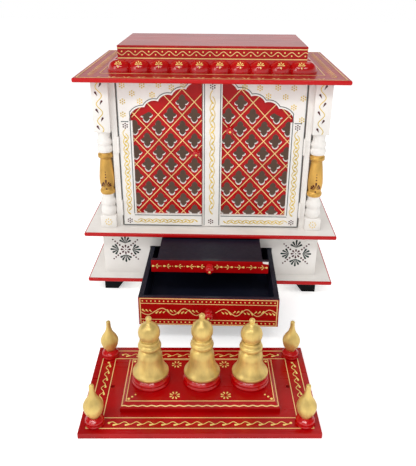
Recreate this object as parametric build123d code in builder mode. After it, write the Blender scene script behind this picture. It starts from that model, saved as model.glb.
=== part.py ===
"""Wooden home temple (pooja mandir) with jali doors, a drawer, a sliding tray and its lifted-off crown.

Millimetres. X runs to the right, +Y to the back and +Z up. The origin is on the floor, in the
middle of the ground that the temple and the crown in front of it cover together.
The pose at rest is the one in the photograph: doors shut, drawer and tray pulled out.
"""
from build123d import *
from math import cos, radians, sin
import os

os.makedirs("parts", exist_ok=True)

# Boards
slab_width = 464.0
slab_depth = 344.0
slab_thick = 7.5
lower_overhang = 2.0
slab_edge_radius = 2.6
board = 8.0
thin_board = 4.0

# Heights of the storeys
foot_height = 26.2
plinth_height = 88.6
shrine_height = 274.0

# Plans of the storeys, each set in from the slab or from the storey that it goes with
plinth_inset = 27.5
plinth_width = slab_width - 2 * plinth_inset
plinth_setback = 24.2
post_side = 29.4
post_setback = 24.3
post_overhang = 2.0
post_span = plinth_width + 2 * post_overhang
wall_inset = 6.5
wall_span = post_span - 2 * wall_inset

# Feet
foot_inset = 25.2
foot_span = slab_width - 2 * foot_inset
foot_sole = 25.6
foot_top = 45.0
foot_depth = 36.0
foot_setback = 18.4

# Drawer and tray, which share the plinth's height
drawer_x = 1.5
plinth_panel = 89.1
drawer_width = plinth_width - 2 * plinth_panel
drawer_length = 265.0
drawer_pull = 185.2
drawer_gap = 1.5
runner_width = 15.0
runner_height = 4.0
rest_gap = 0.3
strip_inset = 14.0
tray_strip_width = drawer_width - 2 * strip_inset
strip_overhang = 10.6
tray_board_width = tray_strip_width - 2 * strip_overhang
tray_board_thick = 5.0
tray_board_length = 200.0
tray_strip_height = 22.8
tray_pull = 102.7
tray_gap = 0.8
tray_headroom = 2.0
slot_bridge = 7.1
drawer_height = plinth_height - runner_height - rest_gap - slot_bridge - tray_strip_height - tray_headroom

# Doors
door_setback = 34.0
jamb_width = 10.1
hinge_gap = 2.0
door_span = post_span - 2 * (post_side + jamb_width + hinge_gap)
door_gap = 1.5
door_height = shrine_height - 2 * door_gap
frame_thick = 5.0
jali_thick = 4.0
stile_width = 25.5
rail_height = 23.7
centre_stile_left = -15.0
centre_stile_width = 34.0
jali_lap = 10.0
leaf_thick = 0.6
leaf_height = 30.0
barrel_radius = 2.0
barrel_stand_off = 2.4
leaf_play = 0.2
hinge_heights = (36.0, 158.0)

# Cusped arch over the doors, measured from the middle and from the door's lower edge
arch_inset = 20.5
arch_half_width = door_span / 2 - arch_inset
arch_drop = 67.0
arch_spring = door_height - arch_drop
arch_ledge = 3.0
arch_end = 19.5
lobe_count = 5
first_lobe_run = 27.4
first_lobe_rise = 21.5
lobe_run = (arch_half_width - first_lobe_run - arch_end) / (lobe_count - 1)
lobe_rise = 10.4
lobe_bulge = 0.2

# Lattice of the doors, left whole above a straight slope that follows the arch
lattice_pitch_x = 42.4
lattice_pitch_z = 45.7
lattice_column = 30.0
lattice_rise = 7.5
lattice_top_row = arch_spring + lattice_rise
slope_inner = 7.3
slope_drop = 75.6
motif_tip = 13.3
motif_side = 10.9
motif_notch_x = 5.6
motif_notch_z = 4.1

# Roof
block_width = slab_width * 0.7142
block_setback = 76.0
block_depth = slab_depth - 2 * block_setback
block_height = 20.2
lid_thick = 3.0
moulding_height = 20.3
lobe_shoulder = 0.5
lobe_height = moulding_height - lobe_shoulder
lobe_radius = 21.5
lobe_inset = 2.5
corner_crowd = 8.2
front_lobes = 9
side_lobes = 5

# Crown, lifted off and set on the floor in front
crown_distance = 449.9
crown_x = -7.7
crown_turn = 1.8
crown_thick = 8.6
crown_hole_radius = 3.2
crown_hole_span = 263.0
pad_width = block_width * 0.684
pad_depth = block_depth * 0.57
pad_height = 13.0
pad_bevel = 6.5
bell_margin = 12.4
bell_base_radius = 27.5
bell_spacing = pad_width / 2 - bell_margin - bell_base_radius
middle_bell_shift = 2.4
bell_base_height = 13.0
bell_radius = 26.5
bell_heights = (99.0, 103.5, 95.5)
finial_inset_x = 20.5
finial_inset_y = 21.0
finial_base_radius = 14.0
finial_base_height = 13.0
finial_radius = 13.0
finial_height = 54.4

# Knobs
knob_neck = 3.6
door_knob_radius = 7.0
door_knob_length = 15.0
pull_knob_radius = 7.5
pull_knob_length = 18.0

# Heights worked out from the sizes above
slab_low = foot_height
plinth_low = slab_low + slab_thick
middle_low = plinth_low + plinth_height
shrine_low = middle_low + slab_thick
roof_low = shrine_low + shrine_height
roof_top = roof_low + slab_thick
block_low = roof_top + moulding_height

# Depths worked out so that the origin lies in the middle of everything on the floor
crown_reach = (block_width * sin(radians(crown_turn)) + block_depth * cos(radians(crown_turn))) / 2
temple_y = (crown_distance + crown_reach - slab_depth / 2 - lower_overhang) / 2
front_y = temple_y - slab_depth / 2
crown_y = temple_y - crown_distance
plinth_front = front_y + plinth_setback
plinth_back_y = front_y + slab_depth - plinth_setback
post_front = front_y + post_setback
door_front = front_y + door_setback
jali_front = door_front + frame_thick


def facing(y):
    """Plane that faces the front at depth y; its sketch reads X across and Z up."""
    return Plane.XZ.offset(-y)


def save(part, label):
    """Name the part and write its STEP file."""
    part.label = label
    export_step(part, f"parts/{label}.step")


def block_between(low, high):
    """Plain board between two corner points."""
    size = [b - a for a, b in zip(low, high)]
    middle = [(a + b) / 2 for a, b in zip(low, high)]
    with BuildPart() as made:
        with Locations(tuple(middle)):
            Box(*size)
    return made.part


# Three slabs with rounded edges
for label, low, overhang in (
    ("bottom_slab", slab_low, lower_overhang),
    ("middle_slab", middle_low, lower_overhang),
    ("roof_slab", roof_low, 0),
):
    width = slab_width + 2 * overhang
    depth = slab_depth + 2 * overhang
    with BuildPart() as slab:
        with Locations((0, temple_y, low)):
            Box(width, depth, slab_thick, align=(Align.CENTER, Align.CENTER, Align.MIN))
        fillet(slab.edges().filter_by(Axis.Z), radius=slab_edge_radius)
        fillet(slab.faces().sort_by(Axis.Z)[-1].edges(), radius=slab_edge_radius)
        fillet(slab.faces().sort_by(Axis.Z)[0].edges(), radius=slab_edge_radius)
    save(slab.part, label)

# Four feet with a slanted inner side
with BuildPart() as feet:
    for y in (front_y + foot_setback, front_y + slab_depth - foot_setback - foot_depth):
        with BuildSketch(facing(y)):
            for side in (-1, 1):
                outer = side * foot_span / 2
                with BuildLine():
                    Polyline(
                        (outer, 0),
                        (outer - side * foot_sole, 0),
                        (outer - side * foot_top, foot_height),
                        (outer, foot_height),
                        close=True,
                    )
                make_face()
        extrude(amount=-foot_depth)
save(feet.part, "feet")

# Plinth with a stepped opening for the drawer and the tray
opening_half = drawer_width / 2 + drawer_gap
opening_top = plinth_low + runner_height + rest_gap + drawer_height + drawer_gap
slot_half = tray_board_width / 2 + tray_gap
for side, name in ((-1, "left"), (1, "right")):
    outer = side * plinth_width / 2
    opening_edge = drawer_x + side * opening_half
    slot_edge = drawer_x + side * slot_half
    side_x = sorted((outer, outer - side * board))
    front_x = sorted((outer, opening_edge))
    header_x = sorted((opening_edge, slot_edge))
    plinth_side = block_between(
        (side_x[0], plinth_front + board, plinth_low),
        (side_x[1], plinth_back_y - board, middle_low),
    )
    save(plinth_side, f"plinth_{name}_side")
    front_panel = block_between(
        (front_x[0], plinth_front, plinth_low), (front_x[1], plinth_front + board, middle_low)
    )
    save(front_panel, f"plinth_front_{name}")
    header = block_between(
        (header_x[0], plinth_front, opening_top), (header_x[1], plinth_front + board, middle_low)
    )
    save(header, f"plinth_header_{name}")
plinth_back = block_between(
    (-plinth_width / 2, plinth_back_y - board, plinth_low), (plinth_width / 2, plinth_back_y, middle_low)
)
save(plinth_back, "plinth_back")

# Runners that carry the drawer and the tray between the front and the back of the plinth
tray_top = middle_low - tray_headroom
tray_low = tray_top - tray_board_thick
runner_length = plinth_back_y - plinth_front - 2 * board
runner_y = plinth_front + board + runner_length / 2
with BuildPart() as drawer_runners:
    for side in (-1, 1):
        with Locations((drawer_x + side * (drawer_width / 2 - runner_width), runner_y, plinth_low)):
            Box(runner_width, runner_length, runner_height, align=(Align.CENTER, Align.CENTER, Align.MIN))
save(drawer_runners.part, "drawer_runners")
with BuildPart() as tray_runners:
    for side in (-1, 1):
        with Locations((drawer_x + side * slot_half, runner_y, tray_low - rest_gap)):
            Box(runner_width, runner_length, board, align=(Align.CENTER, Align.CENTER, Align.MAX))
save(tray_runners.part, "tray_runners")

# Walls of the shrine and the jambs that the doors hang on
wall_front = post_front + post_side
wall_back = plinth_back_y
jamb_inner = door_span / 2 + hinge_gap
for side, name in ((-1, "left"), (1, "right")):
    outer = side * wall_span / 2
    wall_x = sorted((outer, outer - side * board))
    wall = block_between((wall_x[0], wall_front, shrine_low), (wall_x[1], wall_back - board, roof_low))
    save(wall, f"{name}_wall")
    with BuildPart() as jamb:
        with BuildSketch(Plane.XY.offset(shrine_low)):
            with BuildLine():
                Polyline(
                    (side * jamb_inner, door_front + 2),
                    (side * (post_span / 2 - post_side), door_front + 2),
                    (side * (post_span / 2 - post_side), wall_front),
                    (side * (wall_span / 2 - board), wall_front),
                    (side * (wall_span / 2 - board), wall_front + board),
                    (side * jamb_inner, wall_front + board),
                    close=True,
                )
            make_face()
        extrude(amount=shrine_height)
    save(jamb.part, f"{name}_jamb")
back_wall = block_between(
    (-wall_span / 2, wall_back - board, shrine_low), (wall_span / 2, wall_back, roof_low)
)
save(back_wall, "back_wall")

# Turned posts, square at the foot and the head
post_foot = 23.5
post_head = 90.5
half_post = post_side / 2
turned_low = shrine_low + post_foot
turned_high = roof_low - post_head


def turned(radius_share, height_share):
    """Point of a post's turned outline, as shares of its half side and of its turned length."""
    return half_post * radius_share, turned_low + (turned_high - turned_low) * height_share


for side, name in ((-1, "left"), (1, "right")):
    post_x = side * (post_span / 2 - half_post)
    axis = Plane(origin=(post_x, post_front + half_post, 0), x_dir=(1, 0, 0), z_dir=(0, -1, 0))
    with BuildPart() as post:
        with Locations((post_x, post_front + half_post, shrine_low)):
            Box(post_side, post_side, post_foot, align=(Align.CENTER, Align.CENTER, Align.MIN))
        with Locations((post_x, post_front + half_post, turned_high)):
            Box(post_side, post_side, post_head, align=(Align.CENTER, Align.CENTER, Align.MIN))
        with BuildSketch(axis):
            with BuildLine():
                Polyline(turned(0.86, 0), (0, turned_low), (0, turned_high), turned(0.88, 1))
                ThreePointArc(turned(0.86, 0), turned(0.98, 0.055), turned(0.86, 0.115))
                ThreePointArc(turned(0.86, 0.115), turned(0.97, 0.16), turned(0.86, 0.205))
                ThreePointArc(turned(0.86, 0.205), turned(0.78, 0.235), turned(0.84, 0.262))
                ThreePointArc(turned(0.84, 0.262), turned(0.96, 0.292), turned(0.8, 0.322))
                Spline(
                    turned(0.8, 0.322),
                    turned(0.95, 0.42),
                    turned(0.84, 0.56),
                    turned(0.7, 0.665),
                    tangents=((0.35, 1), (-0.1, 1)),
                )
                ThreePointArc(turned(0.7, 0.665), turned(0.76, 0.69), turned(0.92, 0.7))
                Line(turned(0.92, 0.7), turned(0.92, 0.735))
                ThreePointArc(turned(0.92, 0.735), turned(0.81, 0.748), turned(0.84, 0.76))
                ThreePointArc(turned(0.84, 0.76), turned(0.93, 0.8), turned(0.84, 0.84))
                ThreePointArc(turned(0.84, 0.84), turned(0.93, 0.875), turned(0.84, 0.91))
                ThreePointArc(turned(0.84, 0.91), turned(0.79, 0.95), turned(0.88, 1))
            make_face()
        revolve(axis=Axis((post_x, post_front + half_post, 0), (0, 0, 1)))
    save(post.part, f"{name}_post")

# Roof block on its moulding of round lobes, with a thin lid
with BuildPart(mode=Mode.PRIVATE) as lobe:
    with BuildSketch(Plane.XZ):
        with BuildLine():
            Polyline((0, lobe_height), (0, 0), (lobe_radius, 0))
            Spline((0, lobe_height), (lobe_radius, 0), tangents=((1, 0), (0, -1)), tangent_scalars=(1.4, 1.4))
        make_face()
    revolve(axis=Axis.Z)
lobe_x = block_width / 2 - lobe_inset
lobe_y = block_depth / 2 - lobe_inset
lobe_pitch = (2 * lobe_x - corner_crowd) / front_lobes
lobe_places = [(i * lobe_pitch - lobe_x, side * lobe_y) for i in range(front_lobes + 1) for side in (-1, 1)]
lobe_places += [(-lobe_x, lobe_y * (2 * i / side_lobes - 1)) for i in range(1, side_lobes)]
lobe_places += [(lobe_x, lobe_y * (2 * i / side_lobes - 1)) for i in range(side_lobes + 1)]
with BuildPart() as moulding:
    with Locations((0, temple_y, roof_top)):
        Box(block_width, block_depth, moulding_height, align=(Align.CENTER, Align.CENTER, Align.MIN))
    with Locations(*[(x, temple_y + y, roof_top) for x, y in lobe_places]):
        add(lobe.part)
save(moulding.part, "roof_moulding")
roof_block = block_between(
    (-block_width / 2, temple_y - block_depth / 2, block_low),
    (block_width / 2, temple_y + block_depth / 2, block_low + block_height),
)
save(roof_block, "roof_block")
with BuildPart() as roof_lid:
    with Locations((0, temple_y, block_low + block_height)):
        Box(block_width + 1, block_depth + 1, lid_thick, align=(Align.CENTER, Align.CENTER, Align.MIN))
    fillet(roof_lid.faces().sort_by(Axis.Z)[-1].edges(), radius=1.2)
save(roof_lid.part, "roof_lid")

# Doors
door_low = shrine_low + door_gap
door_high = door_low + door_height
stile_high = door_low + arch_spring - arch_ledge


def cusp(step):
    """Cusp of the arch, counted from its spring; the first lobe is wider and steeper."""
    x = arch_half_width
    z = door_low + arch_spring
    if step > 0:
        x -= first_lobe_run + (step - 1) * lobe_run
        z += first_lobe_rise + (step - 1) * lobe_rise
    return x, z


def knob(x, z, y, radius, length):
    """Turned knob with a thin neck, standing out towards the front."""
    with BuildPart() as made:
        with BuildSketch(Plane(origin=(x, y, z), x_dir=(1, 0, 0), z_dir=(0, 0, 1))):
            with BuildLine():
                Polyline((0, -length), (0, 0), (radius * 0.75, 0), (radius * 0.75, -1.5), (knob_neck, -3))
                ThreePointArc((knob_neck, -3), (knob_neck * 0.92, -length * 0.3), (radius * 0.72, -length * 0.45))
                Spline(
                    (radius * 0.72, -length * 0.45),
                    (radius, -length * 0.7),
                    (0, -length),
                    tangents=((1, -1), (-1, 0)),
                )
            make_face()
        revolve(axis=Axis((x, y, z), (0, 1, 0)))
    return made.part


with BuildSketch(mode=Mode.PRIVATE) as motif:
    with BuildLine():
        ThreePointArc((0, motif_tip), (4.6, 9.6), (motif_notch_x, motif_notch_z))
        ThreePointArc((motif_notch_x, motif_notch_z), (8.8, 3.0), (motif_side, 0))
        mirror(about=Plane.XZ)
        mirror(about=Plane.YZ)
    make_face()

for side, name in ((-1, "left"), (1, "right")):
    hinge_edge = side * door_span / 2
    stile_inner = hinge_edge - side * stile_width
    if side < 0:
        free_edge = centre_stile_left - door_gap
        jali_free_edge = free_edge
    else:
        free_edge = centre_stile_left
        jali_free_edge = free_edge
    rail_free_edge = free_edge if side < 0 else centre_stile_left + centre_stile_width

    stile_x = sorted((hinge_edge, stile_inner))
    stile = block_between(
        (stile_x[0], door_front, door_low), (stile_x[1], door_front + frame_thick, stile_high)
    )
    save(stile, f"{name}_door_hinge_stile")

    rail_x = sorted((stile_inner, rail_free_edge))
    rail = block_between(
        (rail_x[0], door_front, door_low), (rail_x[1], door_front + frame_thick, door_low + rail_height)
    )
    save(rail, f"{name}_door_bottom_rail")

    with BuildPart() as spandrel:
        with BuildSketch(facing(door_front)):
            with BuildLine():
                for step in range(lobe_count):
                    x0, z0 = cusp(step)
                    x1, z1 = cusp(step + 1)
                    rise = lobe_bulge * ((x1 - x0) ** 2 + (z1 - z0) ** 2) ** 0.5
                    SagittaArc((side * x0, z0), (side * x1, z1), -side * rise)
                last_x, last_z = cusp(lobe_count)
                Polyline(
                    (side * last_x, last_z),
                    (rail_free_edge, last_z),
                    (rail_free_edge, door_high),
                    (hinge_edge, door_high),
                    (hinge_edge, stile_high),
                    (side * arch_half_width, stile_high),
                    (side * arch_half_width, door_low + arch_spring),
                )
            make_face()
        extrude(amount=-frame_thick)
    save(spandrel.part, f"{name}_door_arch")

    jali_edge = door_span / 2 - stile_width + jali_lap
    jali_x = sorted((side * jali_edge, jali_free_edge))
    jali_low = door_low + rail_height - jali_lap
    slope_run = jali_edge - slope_inner
    columns = int((jali_edge - lattice_column) / (lattice_pitch_x / 2)) + 1
    with BuildSketch(mode=Mode.PRIVATE) as holes:
        for column in range(columns):
            x = lattice_column + column * lattice_pitch_x / 2
            top_row = lattice_top_row + column % 2 * lattice_pitch_z / 2
            rows = int((top_row - rail_height) / lattice_pitch_z) + 1
            slope_z = door_high - slope_drop * (x - slope_inner) / slope_run
            for row in range(rows):
                z = door_low + top_row - row * lattice_pitch_z
                if z < slope_z:
                    with Locations((side * x, z)):
                        add(motif.sketch)
        with BuildLine():
            Polyline(
                (side * slope_inner, door_high),
                (side * jali_edge, door_high - slope_drop),
                (side * jali_edge, door_high),
                close=True,
            )
        make_face(mode=Mode.SUBTRACT)
    with BuildPart() as jali:
        with BuildSketch(facing(jali_front)):
            with Locations(((jali_x[0] + jali_x[1]) / 2, (jali_low + door_high) / 2)):
                Rectangle(jali_x[1] - jali_x[0], door_high - jali_low)
            add(holes.sketch, mode=Mode.SUBTRACT)
        extrude(amount=-jali_thick)
    save(jali.part, f"{name}_door_jali")

centre_stile = block_between(
    (centre_stile_left, door_front, door_low),
    (centre_stile_left + centre_stile_width, door_front + frame_thick, door_high),
)
save(centre_stile, "right_door_centre_stile")
for name, knob_x, height_share in (("left", -26.4, 0.53), ("right", 33.2, 0.688)):
    knob_z = door_low + door_height * height_share
    save(knob(knob_x, knob_z, jali_front, door_knob_radius, door_knob_length), f"{name}_door_knob")

# Butt hinges: one leaf with half the barrel on the jamb, the other on the door
barrel_y = door_front - barrel_stand_off
leaf_front = barrel_y + barrel_radius + leaf_play
leaf_align = (Align.CENTER, Align.MIN, Align.CENTER)
for side, name in ((-1, "left"), (1, "right")):
    pivot_x = side * (door_span + hinge_gap) / 2
    for part_name, part_edge, half in (
        ("jamb_hinges", side * jamb_inner, 1),
        ("door_hinges", side * door_span / 2, -1),
    ):
        leaf_far = part_edge - half * side * leaf_thick
        with BuildPart() as hinge:
            for height in hinge_heights:
                middle_z = door_low + height
                leaf_x = (part_edge + leaf_far) / 2
                knuckle = leaf_height / 2 - rest_gap
                with Locations((leaf_x, leaf_front, middle_z)):
                    Box(leaf_thick, jali_front - leaf_front, leaf_height, align=leaf_align)
                with Locations((leaf_x, barrel_y, middle_z + half * leaf_height / 4)):
                    Box(leaf_thick, leaf_front - barrel_y, knuckle, align=leaf_align)
                with Locations((pivot_x, barrel_y, middle_z + half * leaf_height / 4)):
                    Cylinder(barrel_radius, knuckle)
        save(hinge.part, f"{name}_{part_name}")

# Drawer, an open box with its front face pulled out
drawer_low = plinth_low + runner_height + rest_gap
drawer_front_y = plinth_front - drawer_pull
drawer_back_y = drawer_front_y + drawer_length
drawer_left = drawer_x - drawer_width / 2
drawer_right = drawer_x + drawer_width / 2
drawer_top = drawer_low + drawer_height
drawer_boards = {
    "drawer_front": ((drawer_left, drawer_front_y, drawer_low), (drawer_right, drawer_front_y + board, drawer_top)),
    "drawer_left_side": (
        (drawer_left, drawer_front_y + board, drawer_low),
        (drawer_left + board, drawer_back_y, drawer_top),
    ),
    "drawer_right_side": (
        (drawer_right - board, drawer_front_y + board, drawer_low),
        (drawer_right, drawer_back_y, drawer_top),
    ),
    "drawer_back": (
        (drawer_left + board, drawer_back_y - board, drawer_low),
        (drawer_right - board, drawer_back_y, drawer_top),
    ),
    "drawer_bottom": (
        (drawer_left + board, drawer_front_y + board, drawer_low),
        (drawer_right - board, drawer_back_y - board, drawer_low + thin_board),
    ),
}
for label, (low, high) in drawer_boards.items():
    save(block_between(low, high), label)
save(
    knob(drawer_x, (drawer_low + drawer_top) / 2, drawer_front_y, pull_knob_radius, pull_knob_length),
    "drawer_knob",
)

# Tray: a flat board behind a strip that closes the slot
tray_back_y = plinth_front - rest_gap - tray_pull + tray_board_length
tray_strip_back = plinth_front - rest_gap - tray_pull
tray_board = block_between(
    (drawer_x - tray_board_width / 2, tray_strip_back, tray_low),
    (drawer_x + tray_board_width / 2, tray_back_y, tray_top),
)
save(tray_board, "tray_board")
tray_strip = block_between(
    (drawer_x - tray_strip_width / 2, tray_strip_back - board, tray_top - tray_strip_height),
    (drawer_x + tray_strip_width / 2, tray_strip_back, tray_top),
)
save(tray_strip, "tray_strip")
save(
    knob(drawer_x, tray_top - tray_strip_height / 2, tray_strip_back - board, pull_knob_radius, pull_knob_length),
    "tray_knob",
)

# Crown: a plate with a bevelled pad, three bells and four corner finials
crown_plane = Plane(origin=(crown_x, crown_y, 0)).rotated((0, 0, crown_turn))
with BuildPart() as crown_plate:
    with BuildSketch(crown_plane):
        Rectangle(block_width, block_depth)
        with Locations((-crown_hole_span / 2, 0), (crown_hole_span / 2, 0)):
            Circle(crown_hole_radius, mode=Mode.SUBTRACT)
    extrude(amount=crown_thick)
save(crown_plate.part, "crown_plate")
with BuildPart() as crown_pad:
    with BuildSketch(crown_plane.offset(crown_thick)):
        Rectangle(pad_width, pad_depth)
    extrude(amount=pad_height)
    chamfer(crown_pad.faces().sort_by(Axis.Z)[-1].edges(), length=pad_bevel)
save(crown_pad.part, "crown_pad")

bell_seat = crown_plane.offset(crown_thick + pad_height)
bell_places = (-bell_spacing, middle_bell_shift, bell_spacing)
with BuildPart(mode=Mode.PRIVATE) as one_bell_base:
    with BuildSketch(Plane.XZ):
        with BuildLine():
            Polyline((bell_radius - 6, bell_base_height), (0, bell_base_height), (0, 0), (bell_base_radius - 1, 0))
            ThreePointArc(
                (bell_base_radius - 1, 0),
                (bell_base_radius, bell_base_height * 0.35),
                (bell_base_radius - 4, bell_base_height * 0.62),
            )
            Line((bell_base_radius - 4, bell_base_height * 0.62), (bell_radius - 6, bell_base_height))
        make_face()
    revolve(axis=Axis.Z)
with BuildPart() as bell_bases:
    with Locations(bell_seat):
        with Locations(*[(x, 0) for x in bell_places]):
            add(one_bell_base.part)
save(bell_bases.part, "bell_bases")

for name, place, height in zip(("left", "middle", "right"), bell_places, bell_heights):
    centre = bell_seat.origin + crown_plane.x_dir * place

    def bell_point(radius_share, height_share):
        """Point of the bell's outline, as shares of its radius and of its height."""
        return bell_radius * radius_share, bell_base_height + height * height_share

    with BuildPart() as bell:
        with BuildSketch(Plane(origin=centre, x_dir=(1, 0, 0), z_dir=(0, -1, 0))):
            with BuildLine():
                Polyline(bell_point(0.9, 0), bell_point(0, 0), bell_point(0, 1))
                ThreePointArc(bell_point(0.9, 0), bell_point(1, 0.03), bell_point(0.975, 0.066))
                Spline(
                    bell_point(0.975, 0.066),
                    bell_point(0.74, 0.167),
                    bell_point(0.63, 0.27),
                    bell_point(0.56, 0.38),
                    tangents=((-0.5, 1), (-0.4, 1)),
                )
                Line(bell_point(0.56, 0.38), bell_point(0.5, 0.395))
                ThreePointArc(bell_point(0.5, 0.395), bell_point(0.585, 0.44), bell_point(0.53, 0.48))
                ThreePointArc(bell_point(0.53, 0.48), bell_point(0.58, 0.52), bell_point(0.46, 0.567))
                ThreePointArc(bell_point(0.46, 0.567), bell_point(0.57, 0.727), bell_point(0.19, 0.872))
                Spline(
                    bell_point(0.19, 0.872),
                    bell_point(0.165, 0.955),
                    bell_point(0, 1),
                    tangents=((-0.2, 1), (-1, 0)),
                )
            make_face()
        revolve(axis=Axis(centre, (0, 0, 1)))
    save(bell.part, f"{name}_bell")

# Corner finials
finial_places = [
    (x_side * (block_width / 2 - finial_inset_x), y_side * (block_depth / 2 - finial_inset_y))
    for y_side in (-1, 1)
    for x_side in (-1, 1)
]
with BuildPart(mode=Mode.PRIVATE) as one_finial_base:
    with BuildSketch(Plane.XZ):
        with BuildLine():
            Polyline((8.5, finial_base_height), (0, finial_base_height), (0, 0), (finial_base_radius - 1, 0))
            ThreePointArc(
                (finial_base_radius - 1, 0),
                (finial_base_radius, finial_base_height * 0.4),
                (finial_base_radius - 3, finial_base_height * 0.75),
            )
            Line((finial_base_radius - 3, finial_base_height * 0.75), (8.5, finial_base_height))
        make_face()
    revolve(axis=Axis.Z)
with BuildPart(mode=Mode.PRIVATE) as one_finial:
    with BuildSketch(Plane.XZ):
        with BuildLine():
            Polyline((8.0, 2.4), (7.5, 0), (0, 0), (0, finial_height))
            Spline(
                (8.0, 2.4),
                (finial_radius, 16.5),
                (8.6, 30),
                (4.2, 40),
                (3.7, 48),
                (0, finial_height),
                tangents=((1, 1), (-1, 0)),
            )
        make_face()
    revolve(axis=Axis.Z)
with BuildPart() as finial_bases:
    with Locations(crown_plane.offset(crown_thick)):
        with Locations(*finial_places):
            add(one_finial_base.part)
save(finial_bases.part, "finial_bases")
with BuildPart() as finials:
    with Locations(crown_plane.offset(crown_thick + finial_base_height)):
        with Locations(*finial_places):
            add(one_finial.part)
save(finials.part, "finials")
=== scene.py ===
"""Looks of a painted wooden home temple with jali doors, pulled-out drawer and tray, and its crown.

Lengths are in millimetres in the settings and in the ornament, and in metres in the meshes.
The frame from the CAD gives every place; what is painted on a board lies on that board's face.
"""
import math

import bmesh
import bpy
from mathutils import Matrix, Vector
from mathutils.bvhtree import BVHTree


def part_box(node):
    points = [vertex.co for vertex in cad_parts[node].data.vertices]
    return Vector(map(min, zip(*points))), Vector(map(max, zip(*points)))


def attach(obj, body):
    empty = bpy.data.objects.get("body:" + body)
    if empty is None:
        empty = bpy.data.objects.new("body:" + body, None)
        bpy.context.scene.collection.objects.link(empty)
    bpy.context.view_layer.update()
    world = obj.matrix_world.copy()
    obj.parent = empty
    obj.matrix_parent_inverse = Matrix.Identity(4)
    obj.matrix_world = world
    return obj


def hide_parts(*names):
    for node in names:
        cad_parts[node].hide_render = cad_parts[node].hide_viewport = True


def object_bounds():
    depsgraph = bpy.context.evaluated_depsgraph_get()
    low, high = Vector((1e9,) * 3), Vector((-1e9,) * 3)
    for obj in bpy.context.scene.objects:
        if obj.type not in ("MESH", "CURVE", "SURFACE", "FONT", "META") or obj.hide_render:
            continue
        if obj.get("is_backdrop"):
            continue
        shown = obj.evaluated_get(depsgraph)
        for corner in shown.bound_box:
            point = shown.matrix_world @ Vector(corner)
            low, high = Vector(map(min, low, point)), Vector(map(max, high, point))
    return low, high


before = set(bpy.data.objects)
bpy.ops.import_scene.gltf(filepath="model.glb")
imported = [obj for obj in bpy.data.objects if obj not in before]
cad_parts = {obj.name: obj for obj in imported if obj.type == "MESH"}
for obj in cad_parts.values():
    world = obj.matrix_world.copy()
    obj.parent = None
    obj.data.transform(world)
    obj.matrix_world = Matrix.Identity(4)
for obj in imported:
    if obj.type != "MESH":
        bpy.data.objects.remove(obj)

bl_info = {
    "name": "Painted home temple",
    "version": (1, 1, 0),
    "blender": (4, 5, 0),
    "location": "3D Viewport > Sidebar > Temple",
    "description": "Builds the turned pieces, the painted ornament and the stage of a wooden home temple",
    "category": "Object",
}

MM = 0.001

# Paint: depth in mm of a stroke's underside, step in mm between strokes that cross, sides of a dot
PAINT_SINK = 0.05
STROKE_STEP = 0.04
DOT_SIDES = 8

# Square foot and head of a turned post in mm
POST_FOOT = 23.5
POST_HEAD = 90.5

# Gold lattice of a door in mm: level and column of one crossing, rise to the next, slope and limits
LATTICE_LEVEL = 365.65
LATTICE_COLUMN = 30
LATTICE_RISE = 45.7
LATTICE_SLOPE = 1.0778
LATTICE_OUTER = 139.5
LATTICE_BOTTOM = 150

# Outline of a door's arch, and painted shadow of the gap along the door's outer edge, in mm from the middle
# of the temple
ARCH_OUTLINE = 143
DOOR_GAP_SHADOW = 164.2

# Lobes along the front of the roof, in mm, and feet of the finials
LOBE_COUNT = 10
LOBE_RADIUS = 21.5
LOBE_CROWD = 8.2
FINIAL_FOOT_RADIUS = 14.0

# Light that the floor gives by itself
FLOOR_GLOW = 0.42


# Settings


class TempleColours(bpy.types.PropertyGroup):
    """Colours of the paints, as linear values."""

    white: bpy.props.FloatVectorProperty(
        name="White",
        description="Off-white paint of the body",
        subtype="COLOR",
        default=(0.84, 0.81, 0.77),
    )
    red: bpy.props.FloatVectorProperty(
        name="Red",
        description="Glossy red of roof, crown and fronts",
        subtype="COLOR",
        default=(0.38, 0.0, 0.001),
    )
    jali_red: bpy.props.FloatVectorProperty(
        name="Jali red",
        description="Red of the door lattice",
        subtype="COLOR",
        default=(0.4, 0.0, 0.002),
    )
    gold: bpy.props.FloatVectorProperty(
        name="Gold",
        description="Gold paint of bells and finials",
        subtype="COLOR",
        default=(0.8, 0.56, 0.18),
    )
    vase_gold: bpy.props.FloatVectorProperty(
        name="Vase gold",
        description="Deeper gold of the posts",
        subtype="COLOR",
        default=(0.72, 0.41, 0.09),
    )
    line_gold: bpy.props.FloatVectorProperty(
        name="Line gold",
        description="Pale gold of brushed lines on red",
        subtype="COLOR",
        default=(0.85, 0.6, 0.24),
    )
    yellow: bpy.props.FloatVectorProperty(
        name="Drop yellow",
        description="Bright yellow of drops on red",
        subtype="COLOR",
        default=(0.86, 0.68, 0.2),
    )
    ochre: bpy.props.FloatVectorProperty(
        name="Ochre",
        description="Dull gold of lines on white",
        subtype="COLOR",
        default=(0.7, 0.5, 0.09),
    )
    maroon: bpy.props.FloatVectorProperty(
        name="Maroon", description="Dark maroon dots", subtype="COLOR", default=(0.07, 0.002, 0.008)
    )
    # Ink: the outlines, and also the painted shadow of the gap along the doors' outer edges
    ink: bpy.props.FloatVectorProperty(
        name="Ink", description="Grey-black outlines", subtype="COLOR", default=(0.1, 0.12, 0.12)
    )
    leaf: bpy.props.FloatVectorProperty(
        name="Leaf", description="Green-black leaves", subtype="COLOR", default=(0.008, 0.03, 0.022)
    )
    navy: bpy.props.FloatVectorProperty(
        name="Navy",
        description="Blue-black inside of drawer and tray",
        subtype="COLOR",
        default=(0.009, 0.011, 0.024),
    )
    # Inside: painted shade, a brown-grey that stands for the dim inside of the shrine
    shade: bpy.props.FloatVectorProperty(
        name="Inside",
        description="Brown-grey inside of the shrine",
        subtype="COLOR",
        default=(0.15, 0.1, 0.075),
    )


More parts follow.
